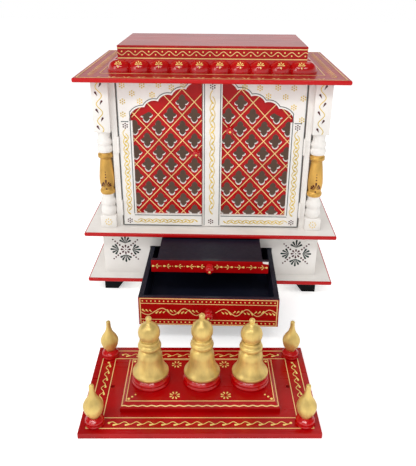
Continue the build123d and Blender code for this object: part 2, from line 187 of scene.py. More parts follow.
class TempleBrush(bpy.types.PropertyGroup):
    """Sizes of the brush work."""

    line: bpy.props.FloatProperty(
        name="Line", description="Width of a painted line in mm", default=1.4, min=0.2
    )
    outline: bpy.props.FloatProperty(
        name="Outline", description="Width of a grey outline in mm", default=1.4, min=0.2
    )
    thickness: bpy.props.FloatProperty(
        name="Thickness", description="How far the paint stands proud in mm", default=0.3, min=0.05
    )
    steps: bpy.props.IntProperty(
        name="Turning steps", description="Segments round a turned piece", default=64, min=16
    )


class TempleStage(bpy.types.PropertyGroup):
    """Camera and lights of the studio."""

    camera_place: bpy.props.FloatVectorProperty(
        name="Camera",
        description="Place of the camera",
        subtype="TRANSLATION",
        default=(0.0164, -0.94027, 0.583),
    )
    camera_down: bpy.props.FloatProperty(
        name="Pitch",
        description="How far the camera looks down",
        subtype="ANGLE",
        default=math.radians(25.2),
    )
    camera_turn: bpy.props.FloatProperty(
        name="Yaw",
        description="How far the camera is turned to the left",
        subtype="ANGLE",
        default=math.radians(1.2),
    )
    camera_roll: bpy.props.FloatProperty(
        name="Roll",
        description="How far the camera is tilted",
        subtype="ANGLE",
        default=math.radians(0.4),
    )
    lens: bpy.props.FloatProperty(name="Lens", description="Focal length in mm", default=44.15)
    key: bpy.props.FloatProperty(
        name="Key", description="Power of the key light", unit="POWER", default=12.0
    )
    fill: bpy.props.FloatProperty(
        name="Fill", description="Power of the fill light", unit="POWER", default=3.5
    )
    sky: bpy.props.FloatProperty(
        name="Sky", description="Strength of the plain surroundings", default=0.72
    )
    mirrored_wall: bpy.props.FloatProperty(
        name="Wall", description="Strength of the low surroundings in glossy paint", default=0.85
    )
    mirrored_sky: bpy.props.FloatProperty(
        name="Mirrored sky",
        description="Strength of the high surroundings in glossy paint",
        default=0.05,
    )


# Boxes of the CAD nodes, in metres


def low(node):
    """Lowest corner of a CAD node."""
    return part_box(node)[0]


def high(node):
    """Highest corner of a CAD node."""
    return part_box(node)[1]


def middle_of(node):
    """Middle of a CAD node's box."""
    lowest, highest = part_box(node)
    return (lowest + highest) / 2


def settings():
    """The scene, which carries the settings."""
    return bpy.context.scene


# Materials


def shader(name):
    """A new material with its node tree and its Principled shader."""
    material = bpy.data.materials.new(name)
    material.use_nodes = True
    tree = material.node_tree
    return material, tree, tree.nodes["Principled BSDF"]


def noise(tree, scale, detail, stretch=(1, 1, 1)):
    """Noise on Object coordinates, stretched along the axes."""
    place = tree.nodes.new("ShaderNodeTexCoord")
    mapping = tree.nodes.new("ShaderNodeMapping")
    mapping.inputs["Scale"].default_value = stretch
    texture = tree.nodes.new("ShaderNodeTexNoise")
    texture.inputs["Scale"].default_value = scale
    texture.inputs["Detail"].default_value = detail
    tree.links.new(place.outputs["Object"], mapping.inputs["Vector"])
    tree.links.new(mapping.outputs["Vector"], texture.inputs["Vector"])
    return texture


def blend_of(tree, factor, dark, light, spread=(0.35, 0.65)):
    """Colour ramp between two colours."""
    ramp = tree.nodes.new("ShaderNodeValToRGB")
    ramp.color_ramp.elements[0].position = spread[0]
    ramp.color_ramp.elements[1].position = spread[1]
    ramp.color_ramp.elements[0].color = (*dark, 1)
    ramp.color_ramp.elements[1].color = (*light, 1)
    tree.links.new(factor, ramp.inputs["Fac"])
    return ramp.outputs["Color"]


def shaded(colour, factor):
    """A colour made darker or lighter."""
    return tuple(min(1.0, c * factor) for c in colour)


def bump(tree, principled, height, strength, distance):
    """Bump from a height socket."""
    node = tree.nodes.new("ShaderNodeBump")
    node.inputs["Strength"].default_value = strength
    node.inputs["Distance"].default_value = distance
    tree.links.new(height, node.inputs["Height"])
    tree.links.new(node.outputs["Normal"], principled.inputs["Normal"])


def maths(tree, operation, first, second=None):
    """One sum on a socket, with a number or another socket."""
    node = tree.nodes.new("ShaderNodeMath")
    node.operation = operation
    tree.links.new(first, node.inputs[0])
    if isinstance(second, (int, float)):
        node.inputs[1].default_value = second
    elif second is not None:
        tree.links.new(second, node.inputs[1])
    return node.outputs[0]


def paint_material(
    name, colour, roughness=0.45, coat=0.0, grain=(1, 1, 1), vary=0.1, gleam=0.4, relief=0.25
):
    """Brushed paint on wood: mottled colour, faint grain and uneven gloss."""
    material, tree, principled = shader(name)
    mottle = noise(tree, 18, 5)
    tree.links.new(
        blend_of(tree, mottle.outputs["Fac"], shaded(colour, 1 - vary), shaded(colour, 1 + vary)),
        principled.inputs["Base Color"],
    )
    brush = noise(tree, 140, 3, grain)
    gloss = tree.nodes.new("ShaderNodeMapRange")
    gloss.inputs["To Min"].default_value = max(0.05, roughness - 0.1)
    gloss.inputs["To Max"].default_value = roughness + 0.1
    tree.links.new(brush.outputs["Fac"], gloss.inputs["Value"])
    tree.links.new(gloss.outputs["Result"], principled.inputs["Roughness"])
    bump(tree, principled, brush.outputs["Fac"], relief, 0.0004)
    principled.inputs["Specular IOR Level"].default_value = gleam
    principled.inputs["Coat Weight"].default_value = coat
    principled.inputs["Coat Roughness"].default_value = 0.09
    return material


def laid_over(material, mask, colour):
    """Lay a second colour over a material where the mask socket is 1."""
    tree = material.node_tree
    principled = tree.nodes["Principled BSDF"]
    below = principled.inputs["Base Color"].links[0].from_socket
    mix = tree.nodes.new("ShaderNodeMix")
    mix.data_type = "RGBA"
    mix.inputs["B"].default_value = (*colour, 1)
    tree.links.new(mask, mix.inputs["Factor"])
    tree.links.new(below, mix.inputs["A"])
    tree.links.new(mix.outputs["Result"], principled.inputs["Base Color"])
    return material


def rim_mask(tree, node, band):
    """1 within a band of the rim of a slab, 0 inside it, from Object coordinates."""
    lowest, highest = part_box(node)
    centre = (lowest + highest) / 2
    half = (highest - lowest) / 2
    place = tree.nodes.new("ShaderNodeTexCoord")
    split = tree.nodes.new("ShaderNodeSeparateXYZ")
    tree.links.new(place.outputs["Object"], split.inputs["Vector"])
    sides = []
    for axis in (0, 1):
        distance = maths(tree, "ABSOLUTE", maths(tree, "SUBTRACT", split.outputs[axis], centre[axis]))
        sides.append(maths(tree, "GREATER_THAN", distance, half[axis] - band * MM))
    return maths(tree, "MAXIMUM", sides[0], sides[1])


def slab_material(name, node, inside, rim, band):
    """Painted slab whose rim has a second colour; the rims here are a lighter red, partly the rims' red and
    partly a painted highlight.
    """
    material = paint_material(name, inside, 0.36, coat=0.2, grain=(0.1, 1, 1), vary=0.05, gleam=0.25)
    return laid_over(material, rim_mask(material.node_tree, node, band), rim)


def normal_mask(tree, axis):
    """1 on faces that look along the axis, either way, 0 elsewhere."""
    place = tree.nodes.new("ShaderNodeTexCoord")
    split = tree.nodes.new("ShaderNodeSeparateXYZ")
    tree.links.new(place.outputs["Normal"], split.inputs["Vector"])
    return maths(tree, "GREATER_THAN", maths(tree, "ABSOLUTE", split.outputs[axis]), 0.7)


def sides_material(name, face, sides, vary=0.12):
    """Board with one colour on its front and back and another on its edges."""
    material = paint_material(name, face, 0.36, coat=0.15, vary=vary, gleam=0.2)
    tree = material.node_tree
    front = normal_mask(tree, "Y")
    return laid_over(material, maths(tree, "LESS_THAN", front, 0.5), sides)


def gold_material(name, colour, roughness=0.4):
    """Gold paint brushed on turned wood: streaks, ochre shadows and a soft metallic gleam."""
    material, tree, principled = shader(name)
    streaks = noise(tree, 60, 6, (1, 1, 0.35))
    tree.links.new(
        blend_of(tree, streaks.outputs["Fac"], shaded(colour, 0.7), shaded(colour, 1.3), (0.3, 0.7)),
        principled.inputs["Base Color"],
    )
    fine = noise(tree, 420, 3, (1, 1, 2.5))
    gloss = tree.nodes.new("ShaderNodeMapRange")
    gloss.inputs["To Min"].default_value = roughness - 0.12
    gloss.inputs["To Max"].default_value = roughness + 0.12
    tree.links.new(fine.outputs["Fac"], gloss.inputs["Value"])
    tree.links.new(gloss.outputs["Result"], principled.inputs["Roughness"])
    bump(tree, principled, fine.outputs["Fac"], 0.3, 0.0003)
    principled.inputs["Metallic"].default_value = 0.55
    return material


def inside_shade_material(name, colour):
    """Painted shade of the closed chamber: flat brown-grey, with a painted glow of its own though it is no
    lamp.
    """
    material = paint_material(name, colour, 0.8, vary=0.06)
    tree = material.node_tree
    principled = tree.nodes["Principled BSDF"]
    base = principled.inputs["Base Color"].links[0].from_socket
    # painted glow: the brown-grey gives off a little light of its own
    tree.links.new(base, principled.inputs["Emission Color"])
    principled.inputs["Emission Strength"].default_value = 0.6
    return material


MATERIALS = {}


def make_materials():
    """All paints of the temple, by name."""
    c = settings().temple_colours
    white, red, navy = tuple(c.white), tuple(c.red), tuple(c.navy)
    MATERIALS.update(
        white=paint_material("white_paint", white, 0.5, grain=(1, 1, 0.08), vary=0.04),
        # turned lacquer: the red made 1.3 times lighter, a painted highlight on lobes, discs, feet and
        # knobs
        turned=paint_material(
            "turned_lacquer_with_painted_highlight", shaded(red, 1.3), 0.24, coat=0.9, vary=0.1, gleam=0.3, relief=0.06
        ),
        red=paint_material("red_lacquer", red, 0.3, coat=0.25, grain=(0.08, 1, 1), vary=0.12, gleam=0.2),
        jali=sides_material("jali_paint", tuple(c.jali_red), white, vary=0.14),
        front=sides_material("front_paint", red, navy),
        gold=gold_material("gold_paint", tuple(c.gold)),
        vase=gold_material("vase_gold_paint", tuple(c.vase_gold)),
        line=paint_material("line_gold", tuple(c.line_gold), 0.4, vary=0.16),
        yellow=paint_material("drop_yellow", tuple(c.yellow), 0.4, vary=0.14),
        ochre=paint_material("ochre_line", tuple(c.ochre), 0.5, vary=0.2),
        maroon=paint_material("maroon_dots", tuple(c.maroon), 0.35, vary=0.2),
        ink=paint_material("ink_line", tuple(c.ink), 0.5, vary=0.3),
        leaf=paint_material("leaf_green", tuple(c.leaf), 0.4, vary=0.2),
        navy=paint_material("navy_paint", navy, 0.5, vary=0.15, gleam=0.2),
        black=paint_material("black_paint", (0.003, 0.003, 0.004), 0.5, vary=0.2, gleam=0.15),
        # painted shade of the closed chamber, which also glows a little
        inside=inside_shade_material("inside_painted_shade", tuple(c.shade)),
        # rims: the red made 1.3 to 1.35 times lighter, partly the rims' red and partly a painted highlight
        # on the slabs' edges
        roof=slab_material("roof_slab_paint_and_rim_highlight", "roof_slab", red, shaded(red, 1.35), 3.0),
        middle=slab_material("middle_slab_paint_and_rim_highlight", "middle_slab", white, shaded(red, 1.3), 2.6),
        bottom=slab_material("bottom_slab_paint_and_rim_highlight", "bottom_slab", white, shaded(red, 1.3), 2.6),
    )


def node_material(node):
    """Which paint a CAD node carries."""
    named = {
        "roof_slab": "roof",
        "roof_moulding": "turned",
        "middle_slab": "middle",
        "bottom_slab": "bottom",
        "feet": "black",
        "tray_board": "navy",
        "drawer_front": "front",
        "tray_strip": "front",
        "drawer_runners": "black",
        "tray_runners": "black",
    }
    if node in named:
        return named[node]
    if node.endswith("jali"):
        return "jali"
    if node.startswith("drawer"):
        return "navy"
    if node.startswith(("crown", "roof")):
        return "red"
    return "white"


# Meshes


def put(name, bm, material, body, replaced=(), smooth=True):
    """Turn a bmesh into a piece that rides on a body."""
    bmesh.ops.recalc_face_normals(bm, faces=bm.faces)
    mesh = bpy.data.meshes.new(name)
    bm.to_mesh(mesh)
    bm.free()
    piece = bpy.data.objects.new(name, mesh)
    bpy.context.scene.collection.objects.link(piece)
    for polygon in mesh.polygons:
        polygon.use_smooth = smooth
    mesh.materials.append(MATERIALS[material])
    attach(piece, body)
    if replaced:
        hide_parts(*replaced)
    return piece


def arc_points(start, middle, end, count=7):
    """Points of the arc through three points, without its start."""
    (ax, ay), (bx, by), (cx, cy) = start, middle, end
    d = 2 * (ax * (by - cy) + bx * (cy - ay) + cx * (ay - by))
    a2, b2, c2 = ax * ax + ay * ay, bx * bx + by * by, cx * cx + cy * cy
    ox = (a2 * (by - cy) + b2 * (cy - ay) + c2 * (ay - by)) / d
    oy = (a2 * (cx - bx) + b2 * (ax - cx) + c2 * (bx - ax)) / d
    radius = math.hypot(ax - ox, ay - oy)
    first = math.atan2(ay - oy, ax - ox)
    turn_b = (math.atan2(by - oy, bx - ox) - first) % math.tau
    turn_c = (math.atan2(cy - oy, cx - ox) - first) % math.tau
    sweep = turn_c if turn_b <= turn_c else turn_c - math.tau
    steps = [first + sweep * i / count for i in range(1, count + 1)]
    return [(ox + radius * math.cos(t), oy + radius * math.sin(t)) for t in steps]


def smooth_points(points, count=8):
    """Catmull-Rom points through the given ones, without the first."""
    padded = [points[0]] + list(points) + [points[-1]]
    made = []
    for a, b, c, d in zip(padded, padded[1:], padded[2:], padded[3:]):
        for i in range(1, count + 1):
            t = i / count
            made.append(
                tuple(
                    0.5
                    * (
                        2 * q
                        + (r - p) * t
                        + (2 * p - 5 * q + 4 * r - s) * t * t
                        + (3 * q - p - 3 * r + s) * t**3
                    )
                    for p, q, r, s in zip(a, b, c, d)
                )
            )
    return made


def outline(start, *steps, radius=1.0, base=0.0, height=1.0):
    """Profile from lines, arcs and smooth runs: a point, a pair of points, or a longer list.

    The points are in mm, or in shares of a radius and of a height above a base.
    """

    def placed(point):
        return (point[0] * radius, base + point[1] * height)

    points = [placed(start)]
    for step in steps:
        if isinstance(step[0], (int, float)):
            points.append(placed(step))
        elif len(step) == 2:
            points.extend(arc_points(points[-1], *map(placed, step)))
        else:
            points.extend(smooth_points([points[-1]] + [placed(point) for point in step]))
    return points


def spun(bm, profile, place):
    """Spin a profile of (radius, height) in mm round the Z axis of a place."""
    verts = [bm.verts.new((r * MM, 0, h * MM)) for r, h in profile]
    edges = [bm.edges.new(pair) for pair in zip(verts, verts[1:])]
    bmesh.ops.spin(
        bm,
        geom=verts + edges,
        axis=(0, 0, 1),
        cent=(0, 0, 0),
        steps=settings().temple_brush.steps,
        angle=math.tau,
        use_merge=True,
    )
    bmesh.ops.remove_doubles(bm, verts=[v for v in bm.verts if not v.tag], dist=1e-6)
    fresh = [v for v in bm.verts if not v.tag]
    bmesh.ops.transform(bm, matrix=place, verts=fresh)
    for v in fresh:
        v.tag = True


def square_block(bm, centre, side, bottom, top, bevel):
    """Square block with softened edges."""
    size = Vector((side, side, top - bottom)) * MM
    place = Matrix.Translation((centre.x, centre.y, (bottom + top) / 2 * MM))
    place = place @ Matrix.Diagonal((*size, 1))
    made = bmesh.ops.create_cube(bm, size=1, matrix=place)
    edges = list({e for v in made["verts"] for e in v.link_edges})
    bmesh.ops.bevel(
        bm, geom=edges, offset=bevel * MM, segments=2, profile=0.5, affect="EDGES", material=-1
    )
    for v in bm.verts:
        v.tag = True


# Turned pieces


def post_profiles(radius, base, top):
    """Foot, vase and head of a turned post, between its square ends."""
    size = {"radius": radius, "base": base, "height": top - base}
    foot = outline(
        (0, 0), (0.86, 0),
        ((0.99, 0.055), (0.8, 0.115)),
        ((0.98, 0.16), (0.8, 0.205)),
        ((0.75, 0.235), (0.84, 0.262)),
        **size,
    )
    vase = outline(
        (0.84, 0.262),
        ((0.96, 0.292), (0.8, 0.322)),
        [(0.95, 0.42), (0.84, 0.56), (0.7, 0.665)],
        ((0.76, 0.69), (0.92, 0.7)),
        (0.92, 0.735),
        ((0.81, 0.748), (0.84, 0.76)),
        **size,
    )
    head = outline(
        (0.84, 0.76),
        ((0.97, 0.8), (0.79, 0.842)),
        ((0.95, 0.876), (0.78, 0.912)),
        ((0.76, 0.95), (0.9, 1)),
        (0, 1),
        **size,
    )
    return foot, vase, head


def build_posts():
    """Two posts: white square ends and rings, gold vase between them."""
    for side in ("left", "right"):
        node = f"{side}_post"
        centre = middle_of(node)
        bottom = low(node).z / MM
        roof = high(node).z / MM
        width = (high(node).x - low(node).x) / MM
        turned_low = bottom + POST_FOOT
        turned_high = roof - POST_HEAD
        place = Matrix.Translation((centre.x, centre.y, 0))
        foot, vase, head = post_profiles(width / 2, turned_low, turned_high)
        white = bmesh.new()
        square_block(white, centre, width, bottom, turned_low, 0.6)
        square_block(white, centre, width, turned_high, roof, 0.6)
        spun(white, foot, place)
        spun(white, head, place)
        put(f"{side}_post_wood", white, "white", "temple", (node,))
        gold = bmesh.new()
        spun(gold, vase, place)
        piece = put(f"{side}_post_vase", gold, "vase", "temple")
        paint_post(side, centre, bottom, roof, piece)


def bell_profile(radius, height):
    """Outline of a crown bell with its two beads, ball and pointed tip."""
    return outline(
        (0, 0), (0.9, 0),
        ((1, 0.03), (0.975, 0.066)),
        [(0.84, 0.115), (0.73, 0.19), (0.68, 0.27), (0.66, 0.34), (0.6, 0.4), (0.46, 0.45)],
        ((0.64, 0.502), (0.5, 0.554)),
        ((0.55, 0.575), (0.41, 0.6)),
        ((0.59, 0.75), (0.18, 0.888)),
        [(0.13, 0.91), (0.165, 0.96), (0.11, 0.99), (0, 1)],
        radius=radius,
        height=height,
    )


def bell_spots():
    """Places of the three bells on the crown's pad."""
    spots = {}
    for side in ("left", "middle", "right"):
        centre = middle_of(f"{side}_bell")
        spots[side] = Vector((centre.x, centre.y, low(f"{side}_bell").z))
    return spots


def build_bells():
    """Three gold bells on red turned discs."""
    discs = bmesh.new()
    disc_low = low("bell_bases").z
    tall = (high("bell_bases").z - disc_low) / MM
    for side, spot in bell_spots().items():
        node = f"{side}_bell"
        size = high(node) - low(node)
        bell = bmesh.new()
        spun(bell, bell_profile(size.x / 2 / MM, size.z / MM), Matrix.Translation(spot))
        put(f"{side}_crown_bell", bell, "gold", "temple", (node,))
        spun(
            discs,
            outline(
                (0, 0), (28.0, 0), (28.5, 0.8), (28.2, tall * 0.28), (26.4, tall * 0.34),
                ((27.4, tall * 0.55), (24.5, tall * 0.8)),
                (23.5, tall), (0, tall),
            ),
            Matrix.Translation((spot.x, spot.y, disc_low)),
        )
    put("bell_discs", discs, "turned", "temple", ("bell_bases",))


def crown_axes():
    """Along and across directions of the turned crown."""
    spots = bell_spots()
    along = spots["right"] - spots["left"]
    along.z = 0
    along.normalize()
    return along, Vector((-along.y, along.x, 0))


def turned_half(node, spare=0.0):
    """Half length and half depth in mm of a rectangle whose turned box is known."""
    along, _ = crown_axes()
    c, s = abs(along.x), abs(along.y)
    size = (high(node) - low(node)) / MM
    a, b = size.x / 2 - spare, size.y / 2 - spare
    return (a * c - b * s) / (c * c - s * s), (b * c - a * s) / (c * c - s * s)


def finial_spots():
    """Plan places of the four finials, from the box of their feet."""
    centre = middle_of("finial_bases")
    along, across = crown_axes()
    half_wide, half_deep = turned_half("finial_bases", FINIAL_FOOT_RADIUS)
    return [
        centre + along * sx * half_wide * MM + across * sy * half_deep * MM
        for sx in (-1, 1)
        for sy in (-1, 1)
    ]


def build_finials():
    """Four gold gourd finials on red turned feet."""
    golds, feet = bmesh.new(), bmesh.new()
    foot_low, foot_high = low("finial_bases").z, high("finial_bases").z
    tall = (foot_high - foot_low) / MM
    for spot in finial_spots():
        spun(
            feet,
            outline(
                (0, 0), (13.6, 0), (14, tall * 0.18), (12.4, tall * 0.3),
                ((13.2, tall * 0.5), (10.6, tall * 0.72)),
                (8.5, tall), (0, tall),
            ),
            Matrix.Translation((spot.x, spot.y, foot_low)),
        )
        spun(
            golds,
            outline(
                (0, 0), (7.5, 0), (8.2, 2.6),
                [(11.6, 7), (14, 17), (11.5, 25), (6.5, 33), (4, 41), (3.4, 48), (3.2, 52), (0, 54.4)],
            ),
            Matrix.Translation((spot.x, spot.y, foot_high)),
        )
    put("finial_feet", feet, "turned", "temple", ("finial_bases",))
    put("finial_gourds", golds, "gold", "temple", ("finials",))


def build_knobs():
    """Turned red knobs with a yellow dot near the tip."""
    bodies = {
        "left_door_knob": "left_door",
        "right_door_knob": "right_door",
        "drawer_knob": "drawer",
        "tray_knob": "tray",
    }
    for node, body in bodies.items():
        lowest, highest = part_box(node)
        radius = (highest.x - lowest.x) / 2 / MM
        length = (highest.y - lowest.y) / MM
        centre = (lowest + highest) / 2
        place = Matrix.Translation((centre.x, highest.y, centre.z))
        place = place @ Matrix.Rotation(math.radians(90), 4, "X")
        knob = bmesh.new()
        spun(
            knob,
            outline(
                (0, 0), (radius * 0.86, 0), (radius * 0.86, 1.6), (3.8, 3.2),
                ((3.5, length * 0.3), (radius * 0.72, length * 0.42)),
                [
                    (radius, length * 0.66), (radius * 0.8, length * 0.88),
                    (radius * 0.35, length * 0.98), (0, length),
                ],
            ),
            place,
        )
        piece = put(f"{node}_turned", knob, "turned", body, (node,))
        painted(
            f"{node}_dot", body, "yellow", [dot(0, 0, 1.9)],
            cast_front(piece, centre.x / MM, centre.z / MM - radius * 0.12, lowest.y / MM - 5),
        )


# Brush strokes, as flat shapes in mm: each shape is a list of polygons


def dot(u, v, radius):
    """Round dot."""
    turns = [math.tau * i / DOT_SIDES for i in range(DOT_SIDES)]
    return [[(u + radius * math.cos(t), v + radius * math.sin(t)) for t in turns]]


def drop(u, v, length, width, angle):
    """Brush drop from a point to a round head in the direction of the angle in degrees."""
    a = math.radians(angle)
    head = length - width / 2
    ring = [(0, 0)]
    for i in range(7):
        t = math.radians(-105 + 35 * i)
        ring.append((head + width / 2 * math.cos(t), width / 2 * math.sin(t)))
    c, s = math.cos(a), math.sin(a)
    return [[(u + x * c - y * s, v + x * s + y * c) for x, y in ring]]


def ribbon(points, width):
    """Line of even width through points."""
    sides = []
    last = len(points) - 1
    for i, (u, v) in enumerate(points):
        before, after = points[max(i - 1, 0)], points[min(i + 1, last)]
        du, dv = after[0] - before[0], after[1] - before[1]
        size = math.hypot(du, dv) or 1
        ou, ov = -dv / size * width / 2, du / size * width / 2
        sides.append(((u + ou, v + ov), (u - ou, v - ov)))
    return [[a[0], a[1], b[1], b[0]] for a, b in zip(sides, sides[1:])]


def bars(corners, width):
    """Closed frame of straight lines that lap at the corners."""
    made = []
    for (u0, v0), (u1, v1) in zip(corners, corners[1:] + corners[:1]):
        size = math.hypot(u1 - u0, v1 - v0)
        du, dv = (u1 - u0) / size * width / 2, (v1 - v0) / size * width / 2
        made.append(ribbon([(u0 - du, v0 - dv), (u1 + du, v1 + dv)], width))
    return made


def rectangle(u0, v0, u1, v1):
    """Corners of a rectangle, in turn."""
    return [(u0, v0), (u1, v0), (u1, v1), (u0, v1)]


def wave(start, end, amplitude, wavelength, phase=0.0):
    """Points of a wave about the line between two points."""
    du, dv = end[0] - start[0], end[1] - start[1]
    size = math.hypot(du, dv)
    count = max(8, int(size / wavelength * 14))
    made = []
    for i in range(count + 1):
        s = size * i / count
        w = amplitude * math.sin(math.tau * s / wavelength + phase)
        made.append((start[0] + (du * s - dv * w) / size, start[1] + (dv * s + du * w) / size))
    return made


def braid(start, end, pitch, reach, width):
    """Two-sided chain of hooked strokes between two points."""
    du, dv = end[0] - start[0], end[1] - start[1]
    size = math.hypot(du, dv)
    au, av = du / size, dv / size
    made = []
    for side in (-1, 1):
        s = 0 if side < 0 else pitch / 2
        while s + pitch * 1.1 <= size:
            points = []
            for i in range(9):
                t = i / 8
                along = s + pitch * 1.1 * t
                across = side * reach * (math.sin(math.pi * t) ** 0.8 - 0.32 * t)
                points.append((start[0] + au * along - av * across, start[1] + av * along + au * across))
            made.append(ribbon(points, width))
            made.append(ribbon(points[-3:], width * 1.9))
            s += pitch
    return made


def rosette(u, v, ring, radius, count=6):
    """Ring of dots round a middle one."""
    made = [dot(u, v, radius)]
    for i in range(count):
        t = math.tau * i / count + math.pi / 2
        made.append(dot(u + ring * math.cos(t), v + ring * math.sin(t), radius))
    return made


def fan(u, v, angle, count, spread, length, width):
    """Drops spread out of one point, longest in the middle."""
    made = []
    for i in range(count):
        share = 2 * i / (count - 1) - 1
        made.append(drop(u, v, length * (1 - 0.22 * abs(share)), width, angle + share * spread))
    return made


# Canvases: where a shape's u and v in mm, and its height w, lie in the world


def facing_front(y):
    """Upright face that looks to the front."""
    return lambda u, v, w: Vector((u, y - w, v)) * MM


def facing_side(x, turn):
    """Upright face that looks along X, with u along Y."""
    return lambda u, v, w: Vector((x + turn * w, u, v)) * MM


def facing_up(z):
    """Level face that looks up."""
    return lambda u, v, w: Vector((u, v, z + w)) * MM


def on_crown(z):
    """Level face of the turned crown, counted from its middle."""
    centre = middle_of("crown_plate") / MM
    along, across = crown_axes()
    return lambda u, v, w: Vector((centre.x, centre.y, z + w)) * MM + (along * u + across * v) * MM


def tree_of(thing):
    """Search tree of a mesh as it stands in the world."""
    mesh = thing.data
    points = [thing.matrix_world @ v.co for v in mesh.vertices]
    return BVHTree.FromPolygons(points, [tuple(p.vertices) for p in mesh.polygons])


def cast(tree, origin, side, up, inward):
    """Face of a solid, found along a direction from a plane of u and v."""

    def canvas(u, v, w):
        start = origin + (side * u + up * v) * MM
        place, normal, _, _ = tree.ray_cast(start, inward)
        if place is None:
            raise RuntimeError("a brush stroke misses its board")
        return place + normal * (1 if normal.dot(inward) < 0 else -1) * w * MM

    return canvas


def cast_front(piece, x, z, y):
    """Face of a turned piece seen from the front, counted from a point in mm."""
    right, up, inward = Vector((1, 0, 0)), Vector((0, 0, 1)), Vector((0, 1, 0))
    return cast(tree_of(piece), Vector((x, y, z)) * MM, right, up, inward)


def painted(name, body, material, shapes, canvas, lift=None):
    """Lay flat shapes on a canvas as one thin piece of paint; strokes in turn differ in height."""
    rise = settings().temple_brush.thickness if lift is None else lift
    bm = bmesh.new()
    for i, shape in enumerate(shapes):
        corners = {}
        for polygon in shape:
            ring = []
            for u, v in polygon:
                key = (round(u, 3), round(v, 3))
                if key not in corners:
                    corners[key] = bm.verts.new((u, v, STROKE_STEP * (i % 4)))
                if corners[key] not in ring:
                    ring.append(corners[key])
            if len(ring) > 2:
                bm.faces.new(ring)
    made = bmesh.ops.extrude_face_region(bm, geom=bm.faces[:], use_keep_orig=True)
    top = {item for item in made["geom"] if isinstance(item, bmesh.types.BMVert)}
    for vert in bm.verts:
        vert.co = canvas(vert.co.x, vert.co.y, rise + vert.co.z if vert in top else -PAINT_SINK)
    return put(name, bm, material, body, smooth=False)


# Painted ornament of the doors


def first_board(nodes, depth):
    """Test whether the first board met from the front at a point lies at a depth."""
    trees = [tree_of(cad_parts[node]) for node in nodes]

    def test(u, v):
        hits = [tree.ray_cast(Vector((u * MM, 0, v * MM)), Vector((0, 1, 0)))[0] for tree in trees]
        depths = [hit.y for hit in hits if hit is not None]
        return bool(depths) and abs(min(depths) - depth) < 0.0004

    return test


def runs(points, test):
    """Parts of a line on which the test holds."""
    made, run = [], []
    for point in points:
        if test(*point):
            run.append(point)
            continue
        if len(run) > 2:
            made.append(run)
        run = []
    if len(run) > 2:
        made.append(run)
    return made


def stepped(start, end, step):
    """Even points between two points."""
    size = math.hypot(end[0] - start[0], end[1] - start[1])
    count = max(1, int(size / step))
    return [
        (start[0] + (end[0] - start[0]) * i / count, start[1] + (end[1] - start[1]) * i / count)
        for i in range(count + 1)
    ]


def lattice_lines(sign, inner, outer, bottom, top):
    """Crossing diagonals between the holes of one door."""
    made = []
    for n in range(-9, 9):
        level = LATTICE_LEVEL + LATTICE_RISE * n
        for slope in (-LATTICE_SLOPE, LATTICE_SLOPE):
            start, end = inner - 1, outer + 1
            points = stepped(
                (sign * start, level + slope * (start - LATTICE_COLUMN)),
                (sign * end, level + slope * (end - LATTICE_COLUMN)),
                0.8,
            )
            made.append([point for point in points if bottom < point[1] < top])
    return [line for line in made if len(line) > 2]


def cusp_line(node, x0, x1, gap):
    """Line that follows the cusped edge of an arch board at a gap above it."""
    tree = tree_of(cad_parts[node])
    depth = middle_of(node).y
    below = low(node).z - 50 * MM
    edge = {}
    step = 1 if x1 > x0 else -1
    for x in range(int(x0), int(x1) + step, step):
        hit = tree.ray_cast(Vector((x * MM, depth, below)), Vector((0, 0, 1)))[0]
        if hit is not None:
            edge[x] = hit.z / MM
    points = []
    for x in edge:
        near = [edge[x + d] + math.sqrt(gap * gap - d * d) for d in range(-3, 4) if x + d in edge]
        points.append((x, max(near)))
    return points


def painted_edge_highlights(node, depth):
    """Painted highlight: pale strips on the front along the lower sides of a lattice's holes, wider where
    the cut edge faces further up.
    """
    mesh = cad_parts[node].data
    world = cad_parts[node].matrix_world
    points = [world @ v.co for v in mesh.vertices]
    strips = []
    seen = {}
    for polygon in mesh.polygons:
        for pair in polygon.edge_keys:
            ends = tuple(sorted(tuple(round(c, 6) for c in points[i]) for i in pair))
            seen.setdefault(ends, []).append(polygon.normal)
    for (a, b), normals in seen.items():
        if abs(a[1] - depth) > 1e-5 or abs(b[1] - depth) > 1e-5:
            continue
        walls = [n for n in normals if abs(n.y) < 0.3]
        if not walls or walls[0].z < 0.2:
            continue
        width = 0.5 + 1.1 * walls[0].z
        du, dv = -walls[0].x * width, -walls[0].z * width
        a0, b0 = (a[0] / MM, a[2] / MM), (b[0] / MM, b[2] / MM)
        strips.append([[a0, b0, (b0[0] + du, b0[1] + dv), (a0[0] + du, a0[1] + dv)]])
    return strips


SPANDREL_LEFT = [
    (-154.3, 393.8), (-119.9, 394.2), (-91, 395.3), (-69, 391.3), (-48.7, 395.8), (-137.5, 380.5),
    (-102.6, 378.4), (-154.5, 366.3), (-124.4, 367.1), (-155, 343.5),
]
SPANDREL_RIGHT = [
    (57, 392.9), (83, 391.5), (113.9, 392.7), (141.2, 392.1), (98, 378.2), (127.5, 376.9),
    (158, 374.8), (142.7, 359.3), (158, 337.3),
]


